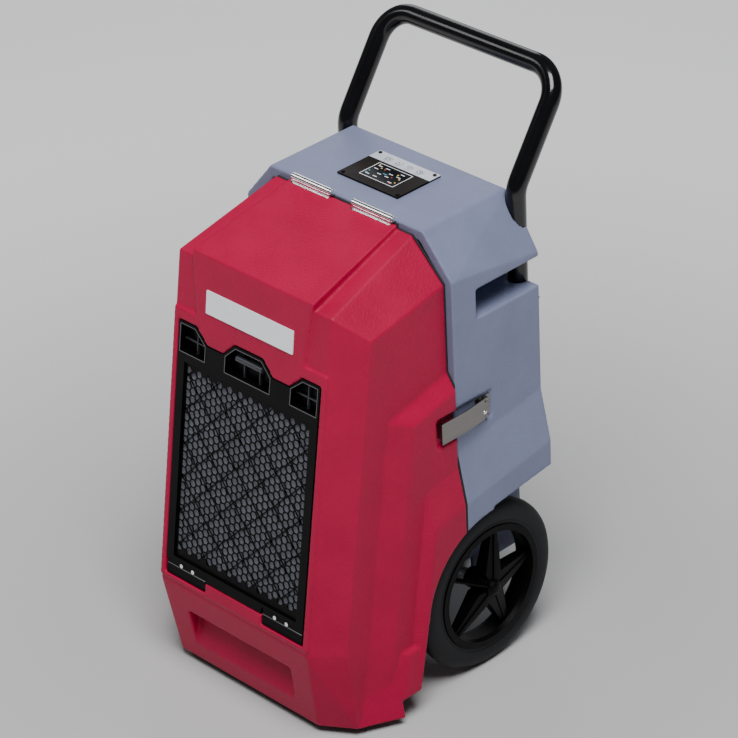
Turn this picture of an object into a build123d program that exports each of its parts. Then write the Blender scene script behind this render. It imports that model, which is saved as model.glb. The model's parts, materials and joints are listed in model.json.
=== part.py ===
from build123d import *
import itertools
import math
import os

os.makedirs("parts", exist_ok=True)

# Commercial dehumidifier. Millimetres, +X right and -Y front as seen by the user, +Z up, floor at z = 0.
# The origin is on the floor at the centre of the machine's bounding box.

# ---- driving dimensions -------------------------------------------------------------------------
TOP_Z = 687.0                  # flat top of the rear housing
TOP_HALF = 144.0               # half width of the flat top
SIDE_HALF = 195.0              # half width of the housing at the shoulder
FLARE_HALF = 211.5             # half width of both mouldings beside the wheels
RIM_Y = -9.0                   # front rim of the rear housing
SEAM_Y = -12.0                 # rear edge of the front cover
REAR_Y = 157.0                 # rear wall
FLOOR_Z = 125.0                # underside of the rear housing
BAY_HALF = 150.0               # half width of the body between the wheels
OVERHANG_Z = 271.0             # lower edge of the housing behind the wheels
WALL = 4.0                     # wall of both mouldings

COVER_Z = 12.0                 # lower edge of the front cover
COVER_HALF = 184.0             # half width of the front cover above its bulges
BULGE_HALF = 199.5             # half width at the upper bulge
LEAN = 0.1633                  # the front face moves back this far for each unit of height
FRONT_FOOT_Y = -281.5          # where the front face would meet the floor
FACE_HALF = 145.5              # half width of the flat front face

AXLE_Y = 42.0
AXLE_Z = 127.0                 # also the tyre's radius
AXLE_R = 8.0
ARCH_R = 131.0                 # wheel arch
TYRE_IN = 166.0                # inner face of the tyre
TYRE_OUT = 200.0               # outer face of the tyre
RIM_R = 93.5                   # flange of the rim
SPOKES = 5
SPOKE_TURN = 12.0              # degrees from vertical to the first spoke

TUBE_R = 14.0                  # handle tube
HANDLE_X = 159.5
HANDLE_TOP = (245.5, 827.0)    # y and z of the grip's centre line
HANDLE_BEND = (153.0, 690.0)   # y and z where the legs turn upright
HANDLE_END_Z = 500.0
SADDLE_Z = 522.5               # clamps that hold the handle's legs in the housing
SADDLE_SCREW_X = 18.5

HINGE_Y = -13.0
HINGE_Z = 689.5
HINGE_R = 5.0
HINGE_PIN_R = 2.0

PANEL_HALF = 57.0              # control panel
PANEL_Y = (33.0, 115.5)
STRIP_Y = 93.5                 # front edge of the button strip
PANEL_T = 3.0
PANEL_SCREWS = [(-51.5, 39.0), (51.5, 39.0), (-51.5, 110.0), (51.5, 110.0)]

DOOR_HALF = 136.0              # intake grille
DOOR_LOW = 169.5
DOOR_HIGH = 531.0
DOOR_VALLEY = 511.0            # top edge between the three pockets
POCKET_LOW = 487.0
MESH_HALF = 122.0
MESH_Z = (184.0, 474.0)
GRILLE_PIVOT_Z = 156.0          # height of the grille's hinge line on the front face

LATCH_Z = 415.0
LATCH_PIN_Y = 46.0
LATCH_PIN_X = 196.5
LATCH_FLOOR = 191.5            # half width at the floor of the latch pocket

FAN_Z = 400.0
FAN_R = 112.0
RUN_GAP = 0.05                 # radial clearance of running fits
TOUCH = 0.3                    # gap between parts that move past each other

# ---- helpers ------------------------------------------------------------------------------------


def save(node, shape):
    """Write one sub-part."""
    shape.label = node
    export_step(shape, "parts/" + node + ".step")


def convex(planes, inset=0.0):
    """Convex solid inside planes given as (outward normal, point), each moved in by inset."""
    walls = []
    for normal, point in planes:
        n = Vector(*normal).normalized()
        walls.append((n, n.dot(Vector(*point)) - inset))
    corners = []
    for (a, da), (b, db), (c, dc) in itertools.combinations(walls, 3):
        cross = b.cross(c)
        det = a.dot(cross)
        if abs(det) < 1e-6:
            continue
        p = (cross * da + c.cross(a) * db + a.cross(b) * dc) * (1 / det)
        if all(n.dot(p) <= d + 1e-4 for n, d in walls):
            if all((p - q).length > 1e-3 for q in corners):
                corners.append(p)
    faces = []
    for n, d in walls:
        ring = [p for p in corners if abs(n.dot(p) - d) < 1e-3]
        if len(ring) < 3:
            continue
        mid = sum(ring[1:], ring[0]) * (1 / len(ring))
        u = (ring[0] - mid).normalized()
        v = n.cross(u)
        ring.sort(key=lambda p: math.atan2((p - mid).dot(v), (p - mid).dot(u)))
        faces.append(Face(Wire.make_polygon(ring, close=True)))
    return Solid(Shell(faces))


def mirrored(planes):
    """The planes and, for each that leans sideways, its mirror image in x = 0."""
    out = []
    for (nx, ny, nz), (px, py, pz) in planes:
        out.append(((nx, ny, nz), (px, py, pz)))
        if nx:
            out.append(((-nx, ny, nz), (-px, py, pz)))
    return out


def flipped(planes):
    return [((-nx, ny, nz), (-px, py, pz)) for (nx, ny, nz), (px, py, pz) in planes]


def block(x0, x1, y0, y1, z0, z1):
    """Box between two corners."""
    return Pos((x0 + x1) / 2, (y0 + y1) / 2, (z0 + z1) / 2) * Box(x1 - x0, y1 - y0, z1 - z0)


def rod(axis, centre, r, length):
    """Cylinder about the named axis with its middle at centre."""
    turn = {"X": Rot(0, 90, 0), "Y": Rot(90, 0, 0), "Z": Rot(0, 0, 0)}[axis]
    return Pos(*centre) * turn * Cylinder(r, length)


def hollow_rod(axis, centre, r_out, r_in, length):
    return rod(axis, centre, r_out, length) - rod(axis, centre, r_in, length + 2)


def group(shapes):
    """Several separate solids kept in one node."""
    solids = []
    for shape in shapes:
        solids.extend(shape.solids())
    return Compound(solids)


def both(make):
    """The pieces that make(side) gives on the right and on the left."""
    return group([make(1), make(-1)])


def front_y(z):
    """Where the front face is at height z."""
    return FRONT_FOOT_Y + LEAN * z


LEAN_C = 1 / math.hypot(1, LEAN)
LEAN_S = LEAN * LEAN_C


def on_front(z, out=0.0):
    """Plane on the front face at height z: x to the right, y up the face, z outward."""
    origin = (0, front_y(z) - out * LEAN_C, z + out * LEAN_S)
    return Plane(origin=origin, x_dir=(1, 0, 0), z_dir=(0, -LEAN_C, LEAN_S))


def face_slab(points, out, depth):
    """Outline of (x, height) points drawn on the front face, from out down to depth behind it."""
    base = (DOOR_LOW + DOOR_HIGH) / 2
    flat = [(x, (z - base) / LEAN_C) for x, z in points]
    sketch = on_front(base, out) * make_face(Polyline(*flat, close=True))
    return extrude(sketch, amount=-(out + depth))


def symmetric(points):
    """Close a right-hand outline with its mirror image."""
    return points + [(-x, z) for x, z in reversed(points)]


def pipe(points, r, bend):
    """Tube of radius r along straight runs joined by arcs."""
    path = FilletPolyline(*points, radius=bend)
    start = Plane(origin=path @ 0, z_dir=path % 0)
    return sweep(start * Circle(r), path=path)


# ---- shapes shared by the two mouldings -----------------------------------------------------------

UNDER_Y = -239.0               # front face at the cover's lower edge
CREASE_Z = 140.0               # where the front face turns under
CORNER_BACK = 37.5             # the corner chamfer reaches this far behind the front face
FOOT_HALF = 137.0              # half width of the front face at the lower edge
FOOT_SIDE_Y = -208.6           # where the chamfer meets the side at the lower edge
UNDER_GAP_Y = -62.0            # the cover is open behind this between the wheels, below the housing

CREASE_Y = front_y(CREASE_Z)
FOOT_N = (0, -(CREASE_Z - COVER_Z), -(UNDER_Y - CREASE_Y))
SIDE_CORNER = (COVER_HALF, CREASE_Y + CORNER_BACK, CREASE_Z)
FOOT_CORNER = (COVER_HALF, FOOT_SIDE_Y, COVER_Z)
FOOT_EDGE = (FOOT_HALF, UNDER_Y, COVER_Z)
FACE_CORNER = (FACE_HALF, CREASE_Y, CREASE_Z)


def normal_of(a, b, c):
    """Normal of the plane through three points, turned to face forward."""
    n = (Vector(*b) - Vector(*a)).cross(Vector(*c) - Vector(*a)).normalized()
    if n.Y > 0:
        n = n * -1
    return (n.X, n.Y, n.Z)


SHOULDER_A = (129.0, SEAM_Y, 677.3)
SHOULDER_B = (COVER_HALF, SEAM_Y, 622.3)
SHOULDER_D = (FACE_HALF, front_y(628.0), 628.0)
shoulder_n = (Vector(*SHOULDER_B) - Vector(*SHOULDER_A)).cross(Vector(*SHOULDER_D) - Vector(*SHOULDER_A))
if shoulder_n.Z < 0:
    shoulder_n = shoulder_n * -1
SHOULDER_N = (shoulder_n.X, shoulder_n.Y, shoulder_n.Z)

COVER_FRONT = mirrored([
    ((0, -1, LEAN), (0, FRONT_FOOT_Y, 0)),
    (FOOT_N, (0, UNDER_Y, COVER_Z)),
    ((CORNER_BACK, -(COVER_HALF - FACE_HALF), LEAN * (COVER_HALF - FACE_HALF)), SIDE_CORNER),
    (normal_of(FOOT_EDGE, FOOT_CORNER, FACE_CORNER), FOOT_EDGE),
    (normal_of(FACE_CORNER, FOOT_CORNER, SIDE_CORNER), FOOT_CORNER),
])
COVER_BODY = COVER_FRONT + mirrored([
    ((1, 0, 0), (COVER_HALF, 0, 0)),
    ((0, -0.29, 1), (0, SEAM_Y, 677.3)),
    (SHOULDER_N, SHOULDER_A),
])
PANEL_SLOPE = 0.252            # the raised centre panel on top
PANEL_BACK_Z = 683.5
BROW_Y = -182.2                # where the raised panel turns down the front
BROW = (115.0, BROW_Y, PANEL_BACK_Z + PANEL_SLOPE * (BROW_Y - SEAM_Y))
CENTRE_PANEL = mirrored([
    ((0, -PANEL_SLOPE, 1), (0, SEAM_Y, PANEL_BACK_Z)),
    ((0, -1, 0.14), BROW),
    ((173.0, 13.5, 0), BROW),
    ((95.0, 0, -12.5), BROW),
])
BULGE_ROOT = 170.0             # the bulges start inside the body at this half width
UPPER_BULGE = [
    ((1, 0, 0), (BULGE_HALF, 0, 0)),
    ((-1, 0, 0), (BULGE_ROOT, 0, 0)),
    ((35.5, -15.5, 15.5 * LEAN), (COVER_HALF, front_y(300.0) + 80.5, 300.0)),
    ((23.0, -15.5 * 0.243, 15.5), (COVER_HALF, SEAM_Y, 490.3)),
]
LOWER_BULGE = [
    ((1, 0, 0), (FLARE_HALF, 0, 0)),
    ((-1, 0, 0), (BULGE_ROOT, 0, 0)),
    ((12.0, -12.0, 12.0 * LEAN), (BULGE_HALF, front_y(300.0) + 152.0, 300.0)),
    ((57.0, -12.0 * 0.2, 12.0), (BULGE_HALF, SEAM_Y, 348.3)),
]
SKIRT_STEP = (BULGE_HALF, -138.0, 108.0)
SKIRT = [
    ((1, -0.4828, 0.1936), (COVER_HALF, FOOT_SIDE_Y, COVER_Z)),
    ((1, 0, 0.076), (213.5, 0, COVER_Z)),
    ((0.93, -0.065, 1), SKIRT_STEP),
    ((-1, 0, 0), (BULGE_ROOT, 0, 0)),
]


def bulges(planes_after, inset, low):
    """Both sides of the two bulges and the skirt, cut off below low."""
    extra = planes_after + [((0, 0, -1), (0, 0, low))]
    out = []
    for planes in (UPPER_BULGE, LOWER_BULGE, SKIRT):
        for side in (planes, flipped(planes)):
            out.append(convex(side + COVER_FRONT + extra, inset))
    return out


def wheel_bay(side, grow):
    """Room for one wheel in front of and above the axle, grown by the wall it needs."""
    x0 = BAY_HALF - grow
    arch = rod("X", (side * (x0 + 60), AXLE_Y, AXLE_Z), ARCH_R + grow, 120)
    low = CREASE_Z + grow
    planes = [
        ((0, -1, 0.208), (0, -89.0 - grow, CREASE_Z)),
        ((0, 0, 1), (0, 0, low)),
        ((0, 0, -1), (0, 0, -10.0)),
        ((0, 1, 0), (0, REAR_Y + 20, 0)),
        ((-side, 0, 0), (side * x0, 0, 0)),
        ((side, 0, 0), (side * (x0 + 120), 0, 0)),
    ]
    return arch + convex(planes)


# ---- front cover ----------------------------------------------------------------------------------


def door_outline(grow):
    """Outline of the intake grille: three tabs stand above the line between them."""
    g = grow
    right = [
        (DOOR_HALF + g, DOOR_LOW - g),
        (DOOR_HALF + g, DOOR_HIGH + g),
        (102.6 - g / 2, DOOR_HIGH + g),
        (79.8 - g / 2, DOOR_VALLEY + g),
        (47.8 + g / 2, DOOR_VALLEY + g),
        (26.4 + g / 2, DOOR_HIGH + g),
    ]
    return symmetric(right)


BORDER = [(147.0, 147.0), (147.0, 548.0)]
LEDGE_DEPTH = 20.0
HAND_RECESS = [(99.5, 41.7), (102.0, 99.3)]
RECESS_Y = -243.5              # the recess runs out to the surface at its lower edge
RECESS_RUN = 15.5              # and its floor goes this far back towards the top


def cover_skin(inset, low):
    """Outer or inner form of the cover as one solid."""
    rear = [((0, 1, 0), (0, SEAM_Y + (inset and inset + 5), 0))]
    solids = [convex(COVER_BODY + rear + [((0, 0, -1), (0, 0, low))], inset)]
    solids.append(convex(CENTRE_PANEL + rear + [((0, 0, -1), (0, 0, 530.0))], inset))
    solids += bulges(rear, inset, low)
    form = solids[0].fuse(*solids[1:])
    for side in (1, -1):
        form -= wheel_bay(side, inset)
    return form


def hand_recess():
    """Wedge-shaped hand hold in the lower front face, deepest at the top."""
    (x0, z0), (x1, z1) = HAND_RECESS
    profile = Plane.XZ * make_face(Polyline((-x0, z0), (x0, z0), (x1, z1), (-x1, z1), close=True))
    cutter = extrude(profile, amount=400, both=True)
    depth = convex([
        (FOOT_N, (0, UNDER_Y, COVER_Z)),
        ((0, z1 - z0, -RECESS_RUN), (0, RECESS_Y, z0)),
        ((1, 0, 0), (200, 0, 0)),
        ((-1, 0, 0), (-200, 0, 0)),
        ((0, 0, 1), (0, 0, 200.0)),
        ((0, 0, -1), (0, 0, 0)),
    ])
    return cutter & depth


def latch_pocket(side):
    """Shallow pocket in both mouldings for one latch."""
    return block(*sorted((side * LATCH_FLOOR, side * 230)), -50.0, 60.0, LATCH_Z - 22, LATCH_Z + 22)


def front_cover():
    outer = cover_skin(0.0, COVER_Z)
    border = face_slab(symmetric(BORDER), 3.0, 6.0)
    sleeve = face_slab(door_outline(WALL), 0.0, LEDGE_DEPTH)
    inner = cover_skin(WALL, COVER_Z - 40)
    shell = outer + border
    shell -= inner - sleeve
    shell += block(-107, 107, -256.0, -223.0, 36.0, 104.0) & outer
    shell -= hand_recess()
    shell -= block(-BAY_HALF - 1, BAY_HALF + 1, UNDER_GAP_Y, SEAM_Y + 1, 0.0, FLOOR_Z)
    shell -= block(-BAY_HALF + WALL, BAY_HALF - WALL, UNDER_GAP_Y - 20, SEAM_Y + 1, 0.0, FLOOR_Z + 20)
    shell -= face_slab(door_outline(TOUCH * 4), 30.0, LEDGE_DEPTH - 3)
    window = [(126.0, 178.0), (126.0, 482.0)]
    shell -= face_slab(symmetric(window), 30.0, LEDGE_DEPTH + 5)
    for side in (1, -1):
        leaf = [(side * 56.0, 153.0), (side * 137.0, 153.0), (side * 137.0, 172.0), (side * 56.0, 172.0)]
        shell -= face_slab(leaf, 30.0, 5.0)
        pocket = latch_pocket(side) & block(-230, 230, -50.0, SEAM_Y + 1, 0, 700)
        shell += block(*sorted((side * 188, side * 197)), -54.0, SEAM_Y, LATCH_Z - 26, LATCH_Z + 26)
        shell -= pocket
        notch = convex([
            ((0, -1, 0), (0, -145.0, 0)),
            ((0, 1, 0), (0, 0.0, 0)),
            ((0, 0, 1), (0, 0, 38.5)),
            ((0, 0, -1), (0, 0, 0)),
            ((side, 0, 0), (side * 240, 0, 0)),
            ((-side, 0, 0), (side * 152, 0, 0)),
        ])
        shell -= notch
    return shell


# ---- rear housing ---------------------------------------------------------------------------------

HOUSING_TOP = mirrored([
    ((0, 0, 1), (0, 0, TOP_Z)),
    ((59.0, 0, 50.5), (TOP_HALF, 0, TOP_Z)),
    ((0.843, 0.0755, 0.532), (TOP_HALF, 151.0, TOP_Z)),
    ((1, 0, 0), (SIDE_HALF, 0, 0)),
    ((0, 1, 0), (0, REAR_Y, 0)),
    ((0, 46.0, 7.0), (0, 150.0, TOP_Z)),
])
HOUSING_FLARE = [
    ((1, 0, 0), (FLARE_HALF, 0, 0)),
    ((-1, 0, 0), (178.0, 0, 0)),
    ((75.0, -16.0 * 0.152, 16.0), (SIDE_HALF, RIM_Y, 369.0)),
    ((0, 1, 0), (0, REAR_Y, 0)),
]
SLOT_Z = (555.0, 599.0)
SLOT_Y = 36.0
SLOT_DEPTH = 60.0
AXLE_CHANNEL = 15.0            # half width of the channel that the axle lies in
CHANNEL_TOP = 145.0
FLANGE = 16.0                  # width of the flange round the open front
OUTLET_HALF = 105.0
OUTLET_Z = (300.0, 500.0)


def housing_form(inset, front):
    """Outer or inner form of the rear housing."""
    rim = [((0, -1, 0), (0, front, 0))]
    upper = convex(HOUSING_TOP + rim + [((0, 0, -1), (0, 0, OVERHANG_Z - 40))], inset)
    flares = [convex(p + rim + [((0, 0, -1), (0, 0, OVERHANG_Z - 40))], inset)
              for p in (HOUSING_FLARE, flipped(HOUSING_FLARE))]
    lower = convex(mirrored([
        ((1, 0, 0), (BAY_HALF, 0, 0)),
        ((0, 1, 0), (0, REAR_Y, 0)),
        ((0, 0, 1), (0, 0, OVERHANG_Z + 60)),
        ((0, 0, -1), (0, 0, FLOOR_Z)),
    ]) + rim, inset)
    wings = upper.fuse(*flares)
    for side in (1, -1):
        wings -= rod("X", (side * (BAY_HALF - inset + 60), AXLE_Y, AXLE_Z), ARCH_R + inset, 120)
        under = convex([
            ((0, -1, 0), (0, AXLE_Y, 0)),
            ((0, 1, 0), (0, REAR_Y + 20, 0)),
            ((0, -0.12, 1), (0, 100.0, OVERHANG_Z - 1 + inset)),
            ((0, 0, -1), (0, 0, 100.0)),
            ((-side, 0, 0), (side * (BAY_HALF - inset), 0, 0)),
            ((side, 0, 0), (side * 260.0, 0, 0)),
        ])
        wings -= under
    return wings + lower


def hand_slot(side, grow):
    """Slot below the shoulder, open to the side and to the rear, where the handle tube shows."""
    x0 = SIDE_HALF - SLOT_DEPTH - grow
    return block(*sorted((side * x0, side * 240)), SLOT_Y - grow, REAR_Y + 20,
                 SLOT_Z[0] - grow, SLOT_Z[1] + grow)


def handle_groove(side, grow):
    """Upright groove in the rear wall for one leg of the handle."""
    y = HANDLE_BEND[0]
    r = TUBE_R + 0.3 + grow
    centre = (side * HANDLE_X, y, (HANDLE_END_Z + TOP_Z + 60) / 2)
    length = TOP_Z + 60 - HANDLE_END_Z + 2 * grow
    bore = rod("Z", centre, r, length)
    opening = Pos(side * HANDLE_X, y + 20, centre[2]) * Box(2 * r, 40, length)
    return bore + opening


def rear_housing():
    outer = housing_form(0.0, RIM_Y)
    inner = housing_form(WALL, RIM_Y)
    mouth = housing_form(FLANGE, RIM_Y - 60) & block(-300, 300, -60, RIM_Y + WALL + 0.5, 0, 700)
    channel = block(-170, 170, AXLE_Y - AXLE_CHANNEL, AXLE_Y + AXLE_CHANNEL, 100.0, CHANNEL_TOP)
    channel_wall = block(-BAY_HALF, BAY_HALF, AXLE_Y - AXLE_CHANNEL - WALL, AXLE_Y + AXLE_CHANNEL + WALL,
                         100.0, CHANNEL_TOP + WALL)
    inner -= channel_wall
    for side in (1, -1):
        inner -= hand_slot(side, WALL)
        inner -= handle_groove(side, WALL)
        inner -= block(*sorted((side * 188, side * 230)), -60.0, 64.0, LATCH_Z - 26, LATCH_Z + 26)
    shell = outer - inner - mouth - channel
    for side in (1, -1):
        shell -= hand_slot(side, 0.0)
        shell -= handle_groove(side, 0.0)
        shell -= latch_pocket(side)
        for dx in (-SADDLE_SCREW_X, SADDLE_SCREW_X):
            shell -= rod("Y", (side * HANDLE_X + dx, REAR_Y, SADDLE_Z), 2.5, 30)
    for x, y in PANEL_SCREWS:
        shell -= rod("Z", (x, y, TOP_Z), 1.5, 30)
    shell -= rod("X", (0, HINGE_Y, HINGE_Z), HINGE_R + TOUCH, 200)
    shell -= block(-OUTLET_HALF, OUTLET_HALF, REAR_Y - 10, REAR_Y + 10, *OUTLET_Z)
    shell -= rod("Y", (-110.0, REAR_Y, 175.0), 9.0, 30)
    shell -= block(92.0, 120.0, REAR_Y - 10, REAR_Y + 10, 165.0, 185.0)
    shell -= block(-40.0, 40.0, 50.0, 100.0, TOP_Z - 10, TOP_Z + 5)
    return shell.solids().sort_by(SortBy.VOLUME)[-1]


def cover_seal():
    """Foam strip on the housing's flange, under the edge of the cover."""
    ring = cover_skin(1.0, COVER_Z - 40) - cover_skin(3.4, COVER_Z - 40)
    strip = ring & block(-300, 300, SEAM_Y + TOUCH, RIM_Y, FLOOR_Z, TOP_Z) & housing_form(0.5, SEAM_Y - 20)
    for side in (1, -1):
        strip -= latch_pocket(side)
    return group([strip - rod("X", (0, HINGE_Y, HINGE_Z), HINGE_R + TOUCH, 200)])


# ---- handle ---------------------------------------------------------------------------------------


def handle_tube():
    y0, z0 = HANDLE_BEND
    y1, z1 = HANDLE_TOP
    x = HANDLE_X
    points = [(x, y0, HANDLE_END_Z + 1), (x, y0, z0), (x, y1, z1), (-x, y1, z1), (-x, y0, z0),
              (-x, y0, HANDLE_END_Z + 1)]
    path = FilletPolyline(*points, radius=[40.0, 45.0, 45.0, 40.0])
    start = Plane(origin=path @ 0, z_dir=path % 0)
    return sweep(start * Circle(TUBE_R), path=path)


def handle_clamps():
    """Saddle behind each leg that holds it in its groove."""
    def clamp(side):
        y = HANDLE_BEND[0]
        saddle = block(side * HANDLE_X - 23, side * HANDLE_X + 23, REAR_Y + 0.2, REAR_Y + 12.0, 505.0, 540.0)
        saddle -= rod("Z", (side * HANDLE_X, y, 520.0), TUBE_R, 60)
        for dx in (-SADDLE_SCREW_X, SADDLE_SCREW_X):
            saddle -= rod("Y", (side * HANDLE_X + dx, REAR_Y, SADDLE_Z), 2.6, 60)
        return saddle
    return both(clamp)


def handle_screws():
    screws = []
    for side, dx in itertools.product((1, -1), (-SADDLE_SCREW_X, SADDLE_SCREW_X)):
        x = side * HANDLE_X + dx
        head = rod("Y", (x, REAR_Y + 13.4, SADDLE_Z), 4.0, 2.8)
        screws.append(head + rod("Y", (x, REAR_Y + 3.0, SADDLE_Z), 2.5, 20))
    return group(screws)


# ---- cover hinges ---------------------------------------------------------------------------------

HINGE_X = (21.0, 94.0)         # inner and outer end of each barrel
KNUCKLES = 3
LEAF_BACK_Y = -5.0             # the leaves reach just past the barrel on both sides
LEAF_FRONT_Y = -20.5


def knuckle_spans(keep):
    """X spans of every second knuckle, starting at number keep."""
    x0, x1 = HINGE_X
    step = (x1 - x0) / KNUCKLES
    return [(x0 + i * step + TOUCH / 2, x0 + (i + 1) * step - TOUCH / 2) for i in range(keep, KNUCKLES, 2)]


def hinge_leaf(side, keep, plate):
    """Leaf plate with its knuckles round the pin."""
    leaf = plate
    for x0, x1 in knuckle_spans(keep):
        mid = side * (x0 + x1) / 2
        leaf += rod("X", (mid, HINGE_Y, HINGE_Z), HINGE_R, x1 - x0)
    for x0, x1 in knuckle_spans(1 - keep):
        mid = side * (x0 + x1) / 2
        leaf -= rod("X", (mid, HINGE_Y, HINGE_Z), HINGE_R + TOUCH, x1 - x0 + 2 * TOUCH)
    leaf -= rod("X", (side * 57.5, HINGE_Y, HINGE_Z), HINGE_PIN_R + RUN_GAP, 100)
    return leaf


def hinge_leaves_housing():
    def leaf(side):
        x0, x1 = sorted((side * HINGE_X[0], side * HINGE_X[1]))
        plate = block(x0, x1, RIM_Y + 0.5, LEAF_BACK_Y, TOP_Z, TOP_Z + 1.6)
        plate += block(x0, x1, RIM_Y - 0.5, RIM_Y + 3, TOP_Z, HINGE_Z)
        return hinge_leaf(side, 0, plate)
    return both(leaf)


def hinge_leaves_cover():
    """Cover leaves lie on the raised panel, which slopes down to the front."""
    def leaf(side):
        x0, x1 = sorted((side * HINGE_X[0], side * HINGE_X[1]))
        z = PANEL_BACK_Z
        low = z + PANEL_SLOPE * (LEAF_FRONT_Y - SEAM_Y)
        slope = [(-14.5, z - 0.6), (LEAF_FRONT_Y, low + 0.03), (LEAF_FRONT_Y, low + 1.6),
                 (-17.5, z + 0.4), (-17.0, HINGE_Z), (-14.5, HINGE_Z)]
        plate = extrude(Plane.YZ * make_face(Polyline(*slope, close=True)), amount=x1 - x0)
        plate = Pos(x0, 0, 0) * plate
        return hinge_leaf(side, 1, plate)
    return both(leaf)


def hinge_pins():
    def pin(side):
        length = HINGE_X[1] - HINGE_X[0]
        shaft = rod("X", (side * 57.5 + 0.5, HINGE_Y, HINGE_Z), HINGE_PIN_R, length + 1)
        head = rod("X", (side * 57.5 + length / 2 + 1.3, HINGE_Y, HINGE_Z), 4.4, 2.4)
        return shaft + head
    return both(pin)


# ---- side latches ---------------------------------------------------------------------------------

LATCH_H = 32.0                 # height of the lever
LATCH_T = 1.6


def latch_bases():
    """Base plate in the housing's pocket with two ears that carry the upright pin."""
    def base(side):
        plate = block(*sorted((side * LATCH_FLOOR, side * (LATCH_FLOOR + 1.8))), 30.0, 57.0,
                      LATCH_Z - 16, LATCH_Z + 16)
        for z in (LATCH_Z - 13.0, LATCH_Z + 13.0):
            ear = rod("Z", (side * LATCH_PIN_X, LATCH_PIN_Y, z), 3.0, 5.0)
            foot = block(*sorted((side * LATCH_FLOOR, side * LATCH_PIN_X)), LATCH_PIN_Y - 3, LATCH_PIN_Y + 3,
                         z - 2.5, z + 2.5)
            plate += ear + foot
        return plate + rod("Z", (side * LATCH_PIN_X, LATCH_PIN_Y, LATCH_Z), 1.5, 31)
    return both(base)


def latch_lever(side):
    """Bent strap hinged behind the seam; it runs forward over the keeper on the cover."""
    x_out = BULGE_HALF + 2.6
    x_pin = LATCH_PIN_X + 1.2
    outline = [(x_out, -45.0), (x_out + LATCH_T, -45.0), (x_out + LATCH_T, 5.0),
               (x_pin + LATCH_T, LATCH_PIN_Y + 1), (x_pin, LATCH_PIN_Y + 1), (x_out, 5.0)]
    flat = [(side * x, y) for x, y in outline]
    strap = extrude(Plane.XY * make_face(Polyline(*flat, close=True)), amount=LATCH_H)
    strap = Pos(0, 0, LATCH_Z - LATCH_H / 2) * strap
    for z in (LATCH_Z - 16.3, LATCH_Z + 16.3):
        strap -= Pos(side * LATCH_PIN_X, LATCH_PIN_Y, z) * Box(14, 10, 13.0)
    knuckle = rod("Z", (side * LATCH_PIN_X, LATCH_PIN_Y, LATCH_Z), 3.0, 19.6)
    lip = block(*sorted((side * (BULGE_HALF + 0.4), side * (x_out + 1))), -45.0, -43.6,
                LATCH_Z - 12, LATCH_Z + 12)
    lever = strap + knuckle + lip
    return lever - rod("Z", (side * LATCH_PIN_X, LATCH_PIN_Y, LATCH_Z), 1.5 + RUN_GAP, 60)


def latch_keepers():
    """Small keeper on the cover that the lever closes over."""
    def keeper(side):
        return block(*sorted((side * LATCH_FLOOR, side * 199.0)), -42.8, -34.0, LATCH_Z - 10, LATCH_Z + 10)
    return both(keeper)


# ---- intake grille --------------------------------------------------------------------------------

DOOR_FRONT = 2.6               # the grille's face lies this far out of the front face
DOOR_BACK = 14.0
RAIL = 3.6                     # rim round the pockets
SEAT_DEPTH = 1.0               # the tongues are let in to this depth behind the front face
ROLL_R = 1.6                   # rolled edge that the grille turns on


def filter_grille():
    """Frame with a window for the mesh and three finger pockets along the top."""
    door = face_slab(door_outline(0.0), DOOR_FRONT, DOOR_BACK)
    door -= face_slab(symmetric([(MESH_HALF, MESH_Z[0]), (MESH_HALF, MESH_Z[1])]), 5.0, DOOR_BACK + 5)
    tab_top = DOOR_HIGH - RAIL
    door -= face_slab(symmetric([(43.7, POCKET_LOW), (43.7, DOOR_VALLEY - 1), (25.0, tab_top)]), 5.0,
                      DOOR_BACK - 3)
    for side in (1, -1):
        tab = [(side * 82.5, POCKET_LOW), (side * (DOOR_HALF - RAIL), POCKET_LOW),
               (side * (DOOR_HALF - RAIL), tab_top), (side * 104.0, tab_top), (side * 82.5, DOOR_VALLEY - 1)]
        door -= face_slab(tab, 5.0, DOOR_BACK - 3)
        seat = [(side * 55.0, 160.0), (side * 137.0, 160.0), (side * 137.0, 178.5), (side * 55.0, 178.5)]
        door -= face_slab(seat, 5.0, SEAT_DEPTH)
    return door


MESH_PITCH = 11.65             # between neighbouring holes
MESH_WEB = 1.7
MESH_COLUMNS = 24
MESH_OUT = -1.0                # the mesh lies this far behind the front face
MESH_T = 1.5
MESH_HOLES_Z = (193.0, 471.0)


def grille_mesh():
    """Perforated sheet: hexagonal holes in upright columns, every second column half a pitch higher."""
    z_mid = (DOOR_LOW + DOOR_HIGH) / 2
    low, high = [(z - z_mid) / LEAN_C for z in MESH_Z]
    first, last = [(z - z_mid) / LEAN_C for z in MESH_HOLES_Z]
    sheet = make_face(Polyline((-MESH_HALF, low), (MESH_HALF, low), (MESH_HALF, high), (-MESH_HALF, high),
                               close=True))
    hole = RegularPolygon((MESH_PITCH - MESH_WEB) / math.sqrt(3), 6)
    holes = []
    for column in range(MESH_COLUMNS):
        x = (column - (MESH_COLUMNS - 1) / 2) * MESH_PITCH * math.sqrt(3) / 2
        y = first + MESH_PITCH / 2 * (1 + column % 2)
        while y < last - MESH_PITCH / 2:
            holes.append(Pos(x, y) * hole)
            y += MESH_PITCH
    return extrude(on_front(z_mid, MESH_OUT) * (sheet - holes), amount=-MESH_T)


GRIP_Z = 513.0


def grip_bar():
    """Round finger bar in the middle pocket on two posts."""
    frame = on_front(GRIP_Z, -2.5)
    grip = Rot(0, 90, 0) * Cylinder(4.3, 50.0)
    for x in (-18.0, 18.0):
        grip += Pos(x, 0, -(DOOR_BACK - 5.5) / 2) * Box(5.0, 6.0, DOOR_BACK - 5.5)
    return frame.location * grip


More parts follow.
